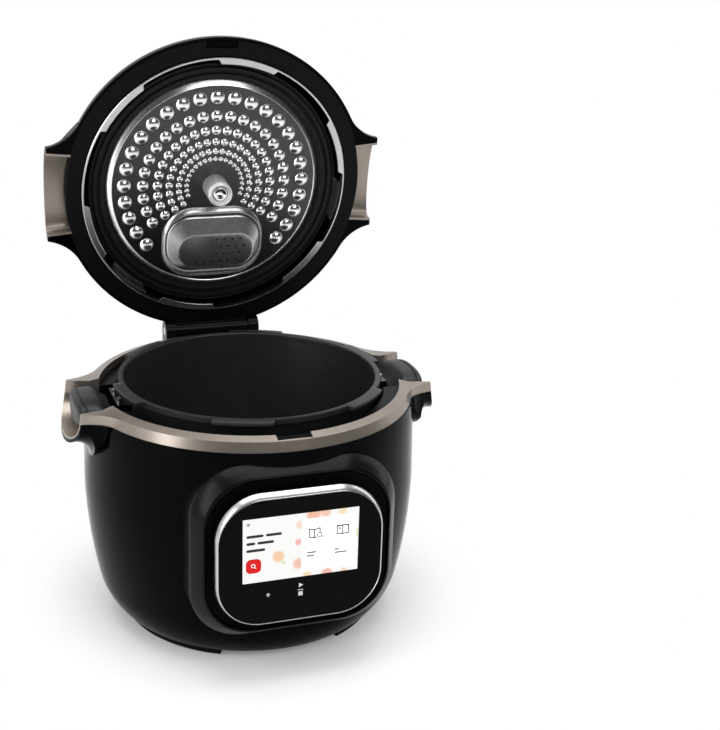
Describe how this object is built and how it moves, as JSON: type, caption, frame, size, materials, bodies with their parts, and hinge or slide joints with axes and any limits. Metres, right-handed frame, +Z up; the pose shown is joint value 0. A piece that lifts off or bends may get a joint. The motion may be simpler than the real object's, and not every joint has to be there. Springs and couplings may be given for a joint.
{
  "type": "electric pressure cooker",
  "caption": "Round electric pressure cooker with a hinged domed jaw-lock lid, a lift-out pot with two handles, a flared trim ring and a front touch panel.",
  "frame": {"origin": "on the table, under the centre of the base", "axes": "+Z up, the control panel faces -Y, the hinge is at +Y, +X is to the right seen from the front"},
  "size_m": [0.3628, 0.402, 0.5465],
  "materials": {
    "gloss_black": "polished moulded plastic",
    "satin_black": "satin moulded plastic",
    "taupe_trim": "metallic taupe lacquer",
    "grip_black": "soft-touch plastic",
    "seal_black": "matte silicone",
    "pot_coating": "satin dark non-stick coating",
    "bright_steel": "polished stainless steel",
    "chrome": "bright chrome",
    "cast_alloy": "plain cast alloy",
    "element_steel": "oxidised steel sheath",
    "dark_glass": "black printed glass",
    "screen": "lit display",
    "board_green": "coated circuit board",
    "brass": "plain brass",
    "cup_clear": "smoked plastic"
  },
  "bodies": {
    "base": {"housing": "gloss_black", "trim_ring": "taupe_trim", "deck": "satin_black", "latch_catch": "satin_black", "cavity_tub": "cast_alloy", "heating_plate": "cast_alloy", "heating_element": "element_steel", "sensor_socket": "satin_black", "bottom_pan": "satin_black", "foot_front_left": "satin_black", "foot_front_right": "satin_black", "foot_rear_left": "satin_black", "foot_rear_right": "satin_black", "foot_pads": "seal_black", "panel_pod": "gloss_black", "panel_rim": "chrome", "panel_glass": "dark_glass", "display": "screen", "control_board": "board_green", "power_board": "board_green", "power_inlet": "satin_black", "inlet_pins": "brass", "hinge_bracket": "gloss_black", "hinge_pin": "bright_steel", "cup_rail": "gloss_black"},
    "lid": {"lid_dome": "gloss_black", "lid_left_scoop": "taupe_trim", "lid_right_scoop": "taupe_trim", "lid_frame": "satin_black", "lid_hook": "satin_black", "hinge_knuckle": "gloss_black", "lid_carrier": "satin_black", "metal_lid": "bright_steel", "lid_gasket": "seal_black", "ball_seat": "satin_black", "safety_seat": "satin_black", "steam_vent": "gloss_black"},
    "lock": {"jaw_ring": "bright_steel", "lock_drive": "cast_alloy", "lock_handle": "gloss_black"},
    "clamp_nut": {"lid_nut": "chrome"},
    "valve_cover": {"valve_cover": "chrome"},
    "valve_ball": {"pressure_ball": "chrome"},
    "relief_stem": {"safety_valve": "chrome"},
    "cup": {"condensate_cup": "cup_clear"},
    "sensor": {"sensor_plunger": "chrome"},
    "pot": {"pot": "pot_coating", "pot_left_bracket": "bright_steel", "pot_right_bracket": "bright_steel", "pot_left_grip": "grip_black", "pot_right_grip": "grip_black", "grip_screws": "bright_steel"}
  },
  "joints": [
    {"name": "lid_hinge", "type": "hinge", "parent": "base", "child": "lid", "pos_m": [0, 0.1594, 0.235], "axis": [-1, 0, 0], "range_deg": [-80.5, 0]},
    {"name": "pot_lift", "type": "slide", "parent": "base", "child": "pot", "axis": [0, 0, 1], "range_m": [0, 0.132]},
    {"name": "lid_lock", "type": "hinge", "parent": "lid", "child": "lock", "pos_m": [0, 0.1972, 0.40294], "axis": [0, 0.9863, 0.165], "range_deg": [0, 30]},
    {"name": "nut_turn", "type": "hinge", "parent": "lid", "child": "clamp_nut", "pos_m": [0, 0.1972, 0.40294], "axis": [0, 0.9863, 0.165], "continuous": true},
    {"name": "cover_pull", "type": "slide", "parent": "lid", "child": "valve_cover", "axis": [0, 0.9863, 0.165], "range_m": [-0.03, 0]},
    {"name": "ball_lift", "type": "slide", "parent": "lid", "child": "valve_ball", "axis": [0, 0.9863, 0.165], "range_m": [0, 0.004]},
    {"name": "relief_lift", "type": "slide", "parent": "lid", "child": "relief_stem", "axis": [0, 0.9863, 0.165], "range_m": [0, 0.003], "stiffness_N_per_m": 600},
    {"name": "cup_slide", "type": "slide", "parent": "base", "child": "cup", "axis": [0, 1, 0], "range_m": [0, 0.05]},
    {"name": "sensor_press", "type": "slide", "parent": "base", "child": "sensor", "axis": [0, 0, 1], "range_m": [-0.003, 0], "stiffness_N_per_m": 800}
  ]
}
